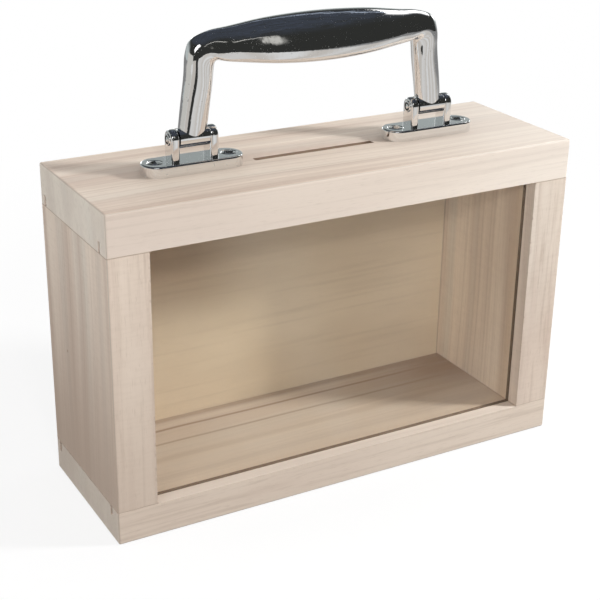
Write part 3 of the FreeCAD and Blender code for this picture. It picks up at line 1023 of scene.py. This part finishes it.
def room_finish(stage):
    """Dark room: a dim bluish ceiling, and a wall that is paler low down behind the object."""
    material, point = new_finish("dark_room")
    way = point.vectors("NORMALIZE", point)
    _, y, z = way.parts()
    cloud = stretched(way, (20.0, 20.0, 20.0), 91.0, 4.0, roughness=0.65).between(0.34, 0.66)
    high = z.between(*CEILING) * ((1.0 - CLOUD) + CLOUD * cloud)
    behind = y.between(*REAR_WALL) * (1.0 - z.between(*WALL_FADE))
    colour = high.paint(opaque(stage.room_dark), stage.room_blue)
    return glowing(material, point, behind.paint(colour, stage.room_rear))


# The mirrored paper: where it dims backwards and to the right, and where it ends in front. The dark past that
# end shows between two slanting lines, each given by its X over Y and the band across it.
DIM_BEHIND, DIM_RIGHT, PAPER_END = (0.25, 0.80), (0.50, 0.85), (-0.42, -0.48)
LEFT_SLANT, LEFT_BAND = 0.577, (-0.08, -0.02)
RIGHT_SLANT, RIGHT_BAND = 0.231, (-0.02, -0.08)


def paper_finish(stage):
    """Streaky paper that the metal mirrors from below: dim at the right and behind, dark past its front end."""
    material, point = new_finish("mirrored_paper")
    x, y, _ = point.parts()
    way = point.vectors("NORMALIZE", point)
    streak = figure(way, (4.0, 4.0, 4.0), 93.0, detail=0.0, start=0.30, full=0.70)
    dim = y.maths("MAXIMUM", y.between(*DIM_BEHIND), x.between(*DIM_RIGHT))
    past = y.between(*PAPER_END) * (x - LEFT_SLANT * y).between(*LEFT_BAND)
    past = past * (x - RIGHT_SLANT * y).between(*RIGHT_BAND)
    colour = streak.paint(opaque(stage.paper_warm), stage.paper_cool)
    colour = dim.paint(colour, stage.paper_dim)
    return glowing(material, point, past.paint(colour, stage.room_dark))


def card_finish(name, colour):
    """Evenly lit card."""
    material, point = new_finish(name)
    return glowing(material, point, opaque(colour))


def patchy_card_finish(name, colour, patches, strength=1.0):
    """Card that shows only where patches, a wire made from its Object coordinates, is 1."""
    material, point = new_finish(name)
    clear = point.node("ShaderNodeBsdfTransparent")
    lit = point.node("ShaderNodeEmission", None, {"Color": opaque(colour), "Strength": strength})
    return close_finish(material, patches(point).blend(clear, lit))


# Share of a soft patch's reach within which it is full
PATCH_CORE = 0.4


def soft_patch(centre, reach, slimness=1.0):
    """Patches that fade out round a point, and sooner along X where they are slim."""
    def patches(point):
        apart = point.vectors("MULTIPLY", point.vectors("SUBTRACT", point, centre), (slimness, 1.0, 1.0))
        return point.vectors("LENGTH", apart).between(reach, reach * PATCH_CORE)
    return patches


# Y where the glint card starts to show, and where it is full
GLINT_FADE = (-0.12, 0.18)


def fade_to_front(point):
    """Patches that fade out from the box's middle towards its front."""
    return point.parts()[1].between(*GLINT_FADE)


def streaks(point):
    """Patches like long uneven streaks."""
    return figure(point, (16.0, 16.0, 40.0), 95.0, detail=3.0, start=0.42, full=0.66)


def mirrored_only(piece):
    """Shows a stage piece to mirror rays alone."""
    piece.visible_camera = False
    piece.visible_diffuse = False
    piece.visible_transmission = False
    piece.visible_shadow = False
    piece.visible_volume_scatter = False


def add_card(name, start, end, width, viewer, material):
    """A flat card along a line between two points, turned to face a third, that shows in mirrors alone."""
    start, end, viewer = Vector(start), Vector(end), Vector(viewer)
    along = (end - start).normalized()
    middle = (start + end) / 2
    across = (viewer - middle).cross(along).normalized()
    turn = Matrix((along, across, along.cross(across))).transposed()
    bpy.ops.mesh.primitive_plane_add(size=1.0)
    card = bpy.context.object
    card.name = name
    card.matrix_world = Matrix.LocRotScale(middle, turn, Vector(((end - start).length, width, 1.0)))
    bpy.ops.object.transform_apply()
    card.data.materials.append(material)
    mirrored_only(card)


def add_lamp(name, position, size, power):
    """A square soft lamp that faces the box and isn't mirrored itself."""
    bpy.ops.object.light_add(type="AREA", location=position)
    lamp = bpy.context.object
    lamp.name = name
    lamp.data.size = size
    lamp.data.energy = power
    lamp.rotation_euler = (Vector(BOX_MIDDLE) - Vector(position)).to_track_quat("-Z", "Y").to_euler()
    lamp.visible_glossy = False


def seen_from(point, azimuth, elevation):
    """The place one metre from a point in a direction, in degrees from the front to the right and upwards."""
    turn, rise = math.radians(azimuth), math.radians(elevation)
    way = Vector((math.cos(rise) * math.sin(turn), -math.cos(rise) * math.cos(turn), math.sin(rise)))
    return Vector(point) + way


LEFT_CORNER = (-0.05, -0.004, 0.178)
LEFT_GRIP = (-0.03, -0.008, 0.178)
RIGHT_GRIP = (0.045, -0.005, 0.18)
BOX_MIDDLE = (0.0, 0.0, 0.10)
WHITE = (1.0, 1.0, 1.0)

# Where the grip's left half mirrors a thin bright arc from: azimuth and elevation in degrees
ARC_DIRECTIONS = ((4.0, 30.0), (13.0, 37.0), (18.0, 39.0), (22.0, 38.5))

# Where small lights behind the box make the screws sparkle, likewise
SPARK_DIRECTIONS = ((112.0, 16.0), (172.0, 12.0))

# Half the angle that such a light's card spans, the card's width, and the reach of the light on it
SPARK_SPAN, SPARK_WIDTH, SPARK_REACH = 11.0, 0.36, 0.19

# Cards that a part of the handle mirrors: the point that sees them, the directions of both ends, and the width
HOOK_CARD = (LEFT_GRIP, (22.5, 40.0), (18.5, 12.0), 0.16)
STREAK_CARD = (RIGHT_GRIP, (100.0, 50.0), (172.0, 44.0), 0.13)
CORNER_CARD = (LEFT_CORNER, (-52.0, 13.0), (-11.0, 40.0), 0.17)
GLINT_CARD = (RIGHT_GRIP, (64.0, 38.5), (126.0, 35.0), 0.25)
ARC_WIDTH = 0.022

# Soft patches on two of them: direction of the middle, reach and slimness
HOOK_MIDDLE, HOOK_REACH, HOOK_SLIMNESS = (21.0, 30.0), 0.25, 7.0
SPOT_MIDDLE, SPOT_REACH = (-31.0, 27.0), 0.42

# The card at the left, by its ends and its width, and the glow of bright cards
LEFT_CARD = ((-0.75, -0.48, 0.145), (-0.75, 0.26, 0.145), 0.28)
BRIGHT, BRIGHTEST = 2.0, 3.0

# Lamps: place and size. The stage's properties hold their powers.
LAMPS = {
    "key": ((0.667, -0.385, 0.459), 0.11),
    "fill": ((-0.560, -0.420, 0.222), 0.30),
    "front": ((-0.21, -0.575, 0.44), 0.06),
    "back": ((0.20, 0.85, 0.22), 0.60),
    "left": ((-0.50, 0.12, 0.36), 0.30),
    "rear": ((0.75, 0.20, 0.86), 0.45),
}


def aim_card(name, viewer, start, end, width, material):
    """A card that a point sees between two directions."""
    add_card(name, seen_from(viewer, *start), seen_from(viewer, *end), width, viewer, material)


def add_mirrored_room(stage):
    """What the metal mirrors: a dark room, paper on the table and a few cards."""
    bpy.ops.mesh.primitive_uv_sphere_add(segments=48, ring_count=24, radius=2.2)
    room = bpy.context.object
    room.name = "stage_room"
    bpy.ops.object.mode_set(mode="EDIT")
    bpy.ops.mesh.select_all(action="SELECT")
    bpy.ops.mesh.bisect(plane_co=(0.0, 0.0, 0.0), plane_no=(0.0, 0.0, 1.0), clear_inner=True)
    bpy.ops.object.mode_set(mode="OBJECT")
    room.data.materials.append(room_finish(stage))
    mirrored_only(room)
    bpy.ops.mesh.primitive_circle_add(vertices=48, radius=2.25, fill_type="NGON", location=(0.0, 0.0, 0.001))
    paper = bpy.context.object
    paper.name = "stage_paper"
    bpy.ops.object.transform_apply()
    paper.data.materials.append(paper_finish(stage))
    mirrored_only(paper)

    pale = card_finish("pale_card", stage.card_pale)
    add_card("stage_left_card", *LEFT_CARD, BOX_MIDDLE, pale)
    for number, ends in enumerate(zip(ARC_DIRECTIONS, ARC_DIRECTIONS[1:])):
        aim_card("stage_arc_card_%d" % number, LEFT_GRIP, *ends, ARC_WIDTH, pale)
    hook = soft_patch(seen_from(LEFT_GRIP, *HOOK_MIDDLE), HOOK_REACH, HOOK_SLIMNESS)
    aim_card("stage_hook_card", *HOOK_CARD, patchy_card_finish("hook_card", stage.card_pale, hook))
    aim_card("stage_streak_card", *STREAK_CARD, patchy_card_finish("streaked_card", stage.card_blue, streaks))
    spot = soft_patch(seen_from(LEFT_CORNER, *SPOT_MIDDLE), SPOT_REACH)
    aim_card("stage_corner_card", *CORNER_CARD, patchy_card_finish("corner_card", WHITE, spot, BRIGHTEST))
    aim_card("stage_glint_card", *GLINT_CARD, patchy_card_finish("glint_card", WHITE, fade_to_front, BRIGHT))
    for number, (azimuth, elevation) in enumerate(SPARK_DIRECTIONS):
        spark = soft_patch(seen_from(BOX_MIDDLE, azimuth, elevation), SPARK_REACH)
        ends = ((azimuth - SPARK_SPAN, elevation), (azimuth + SPARK_SPAN, elevation))
        finish = patchy_card_finish("spark_card_%d" % number, WHITE, spark, BRIGHTEST)
        aim_card("stage_spark_card_%d" % number, BOX_MIDDLE, *ends, SPARK_WIDTH, finish)


class BOX_OT_stage(bpy.types.Operator):
    """Set up the floor, the lights, what the metal mirrors, and the camera"""

    bl_idname = "donation_box.stage"
    bl_label = "Stage"

    def execute(self, context):
        stage = context.scene.box_stage
        bpy.ops.object.select_all(action="DESELECT")
        bpy.ops.mesh.primitive_circle_add(vertices=64, radius=4.0, fill_type="NGON")
        floor = context.object
        floor.name = "stage_floor"
        floor.data.materials.append(floor_finish(stage))
        add_mirrored_room(stage)
        for name, (place, size) in LAMPS.items():
            add_lamp(name + "_lamp", place, size, getattr(stage, name + "_power"))
        set_world(stage)
        set_camera(stage)
        context.scene.view_settings.view_transform = "Standard"
        return {"FINISHED"}


def set_world(stage):
    """Even light, with a white background for the camera, mirrors and clear pieces."""
    world = bpy.data.worlds.new("studio")
    bpy.context.scene.world = world
    world.use_nodes = True
    tree = world.node_tree
    tree.nodes.clear()
    end = tree.nodes.new("ShaderNodeOutputWorld")
    path = tree.nodes.new("ShaderNodeLightPath")
    wire = Wire(path.outputs["Is Camera Ray"])
    even = wire.node("ShaderNodeBackground", None, {"Color": grey(1.0), "Strength": stage.ambient})
    white = wire.node("ShaderNodeBackground", None, {"Color": grey(1.0), "Strength": 1.0})
    sky = seen_or_mirrored(wire).blend(even, white)
    tree.links.new(sky.socket, end.inputs["Surface"])


def set_camera(stage):
    """Camera at the photograph's viewing angle."""
    level = math.cos(stage.elevation)
    back = Vector((math.sin(stage.azimuth) * level, -math.cos(stage.azimuth) * level,
                   math.sin(stage.elevation)))
    bpy.ops.object.camera_add(location=Vector(stage.target) + back * stage.distance)
    camera = bpy.context.object
    camera.name = "photo_camera"
    turn = (-back).to_track_quat("-Z", "Y").to_matrix()
    camera.rotation_euler = (turn @ Matrix.Rotation(stage.roll, 3, "Z")).to_euler()
    camera.data.sensor_width = 36.0
    camera.data.lens = stage.focal_length
    camera.data.clip_start = 0.01
    bpy.context.scene.camera = camera


class BOX_PT_panel(bpy.types.Panel):
    """Steps that finish the donation box"""

    bl_idname = "BOX_PT_panel"
    bl_label = "Donation Box"
    bl_space_type = "VIEW_3D"
    bl_region_type = "UI"
    bl_category = "Donation Box"

    def draw(self, context):
        for step in STEPS:
            self.layout.operator(step.bl_idname)


LOOKS = {"box_wood": WoodLooks, "box_slot": SlotSizes, "box_hinges": HingeSizes, "box_metal": MetalLooks,
         "box_pane": PaneLooks, "box_stage": StageLooks}
STEPS = (BOX_OT_boards, BOX_OT_back_panel, BOX_OT_dowels, BOX_OT_pane, BOX_OT_hinge_bases, BOX_OT_pins,
         BOX_OT_screws, BOX_OT_stage)


def register():
    for name, looks in LOOKS.items():
        bpy.utils.register_class(looks)
        setattr(bpy.types.Scene, name, bpy.props.PointerProperty(type=looks))
    for step in (*STEPS, BOX_PT_panel):
        bpy.utils.register_class(step)


def unregister():
    for step in reversed((*STEPS, BOX_PT_panel)):
        bpy.utils.unregister_class(step)
    for name, looks in LOOKS.items():
        delattr(bpy.types.Scene, name)
        bpy.utils.unregister_class(looks)


def main():
    register()
    for step in STEPS:
        family, action = step.bl_idname.split(".")
        getattr(getattr(bpy.ops, family), action)()


if __name__ == "__main__":
    main()
